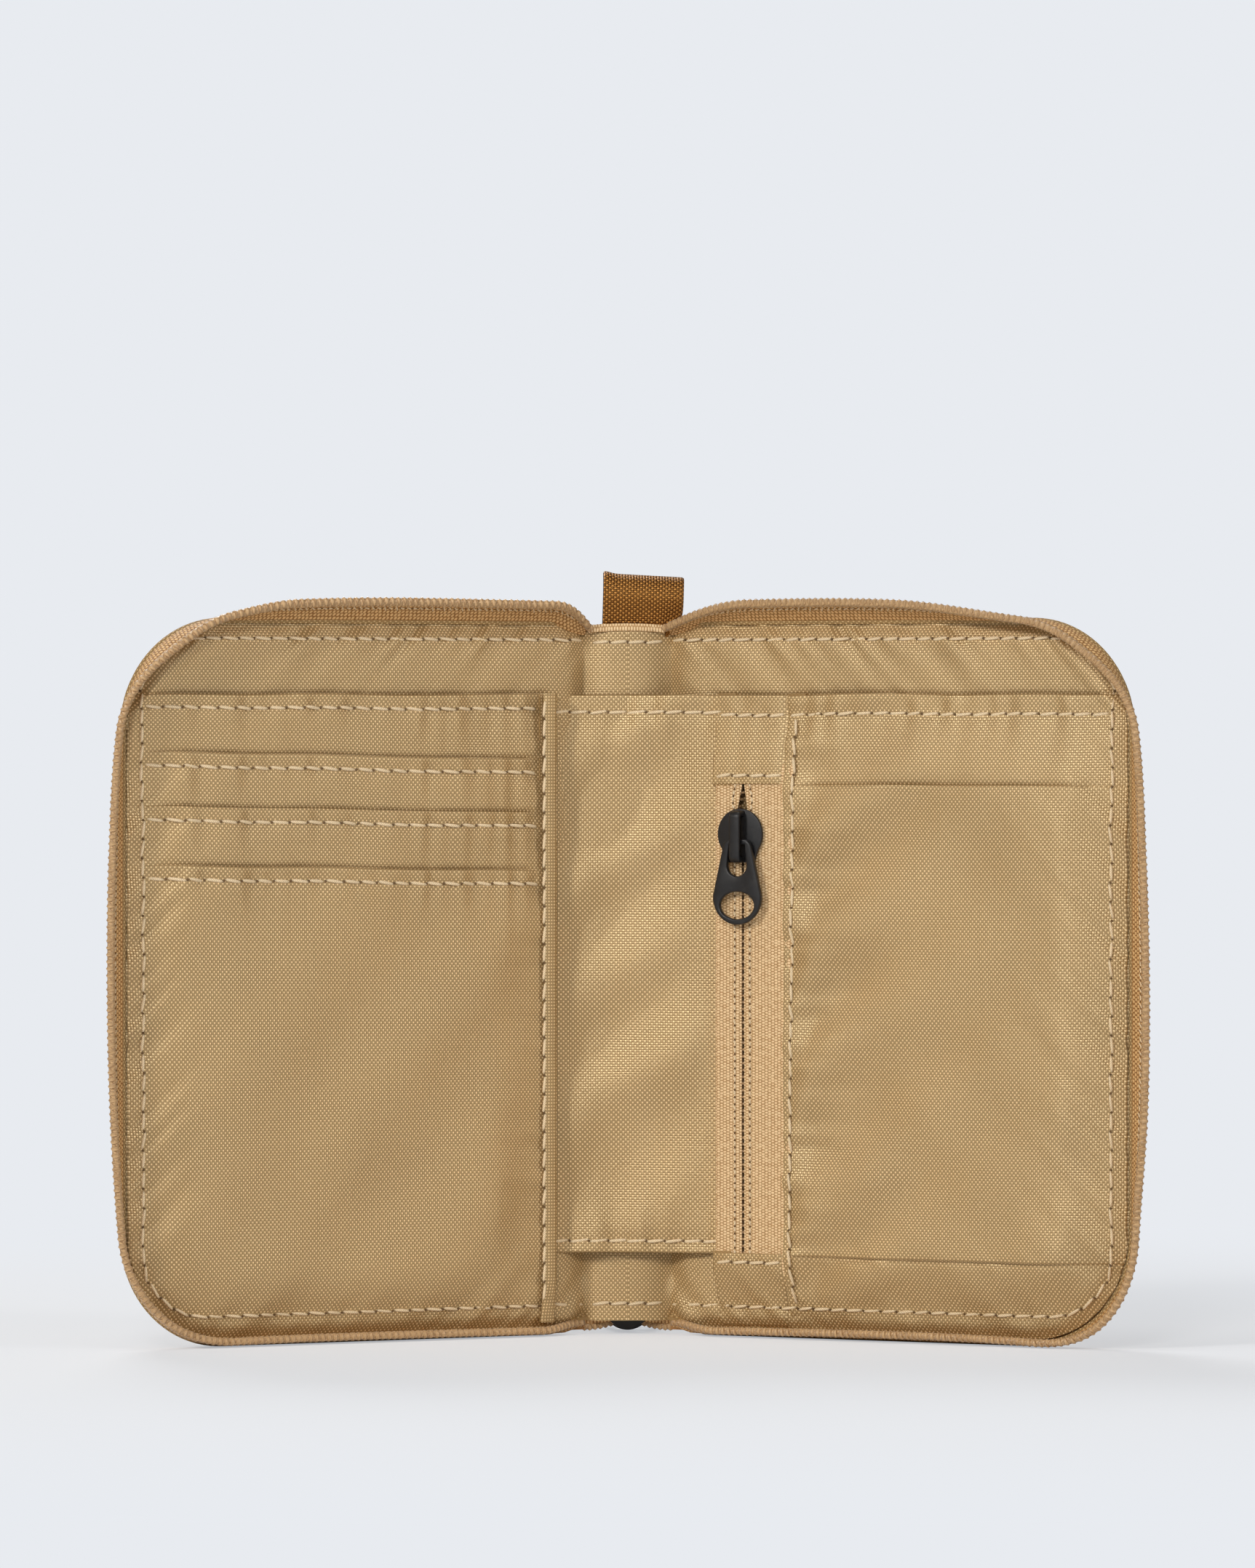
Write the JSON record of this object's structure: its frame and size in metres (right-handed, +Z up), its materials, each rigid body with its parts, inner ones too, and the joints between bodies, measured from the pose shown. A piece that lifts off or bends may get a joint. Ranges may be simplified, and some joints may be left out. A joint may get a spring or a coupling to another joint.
{
  "type": "zip-around travel wallet",
  "caption": "Zip-around fabric travel wallet standing open like a book, with stepped card slots, a zipped pocket under an open sleeve and a webbing loop on its spine.",
  "frame": {"origin": "bottom centre of the bounding box, on the floor the wallet stands on", "axes": "+X to the reader's right along the open width, +Y behind the spine, +Z up along the spine"},
  "size_m": [0.1998, 0.0814, 0.1503],
  "materials": {
    "shell_fabric": "matte woven",
    "lining_fabric": "satin plain weave",
    "zip_tape": "matte ribbed",
    "zip_coil": "satin",
    "webbing": "ribbed webbing",
    "foam": "matte",
    "black_metal": "semi-matte black"
  },
  "bodies": {
    "spine": {"spine_cover": "shell_fabric", "spine_lining": "lining_fabric", "spine_top_binding": "zip_tape", "webbing_loop": "webbing", "bridge_panel": "lining_fabric", "zip_end_tab": "zip_tape"},
    "left_leaf": {"left_cover": "shell_fabric", "left_foam": "foam", "left_lining": "lining_fabric", "left_zip_tape": "zip_tape", "left_zip_coil": "zip_coil", "card_panel_back": "lining_fabric", "card_slot_upper": "lining_fabric", "card_slot_middle": "lining_fabric", "card_slot_lower": "lining_fabric", "card_panel_binding": "lining_fabric"},
    "right_leaf": {"right_cover": "shell_fabric", "right_foam": "foam", "right_lining": "lining_fabric", "right_zip_tape": "zip_tape", "right_zip_coil": "zip_coil", "zip_pocket_back": "lining_fabric", "zip_pocket_front": "lining_fabric", "zip_top_tab": "lining_fabric", "zip_bottom_tab": "lining_fabric", "inner_tape_left": "zip_tape", "inner_tape_right": "zip_tape", "inner_coil_left": "zip_coil", "inner_coil_right": "zip_coil", "sleeve_band": "lining_fabric"},
    "inner_slider": {"inner_slider": "black_metal"},
    "inner_pull": {"inner_pull": "black_metal"},
    "main_slider": {"main_slider": "black_metal"},
    "main_pull": {"main_pull": "black_metal"}
  },
  "joints": [
    {"name": "left_fold", "type": "hinge", "parent": "spine", "child": "left_leaf", "pos_m": [-0.0085, 0.0205, 0.07], "axis": [0, 0, 1], "range_deg": [-30, 60], "deforming": ["bridge_panel", "spine_lining"]},
    {"name": "right_fold", "type": "hinge", "parent": "spine", "child": "right_leaf", "pos_m": [0.0085, 0.0205, 0.07], "axis": [0, 0, -1], "range_deg": [-30, 60], "deforming": ["bridge_panel", "spine_lining"]},
    {"name": "inner_zip_travel", "type": "slide", "parent": "right_leaf", "child": "inner_slider", "axis": [0, 0, -1], "range_m": [0, 0.075]},
    {"name": "inner_pull_swing", "type": "hinge", "parent": "inner_slider", "child": "inner_pull", "pos_m": [0.02159, 0.00416, 0.0974], "axis": [-0.866, 0.5, 0], "range_deg": [0, 172]},
    {"name": "main_zip_park", "type": "slide", "parent": "spine", "child": "main_slider", "axis": [0, 0, 1], "range_m": [0, 0.01]},
    {"name": "main_pull_swing", "type": "hinge", "parent": "main_slider", "child": "main_pull", "pos_m": [0, 0.02535, 0.0069], "axis": [1, 0, 0], "range_deg": [-68, 110]}
  ]
}
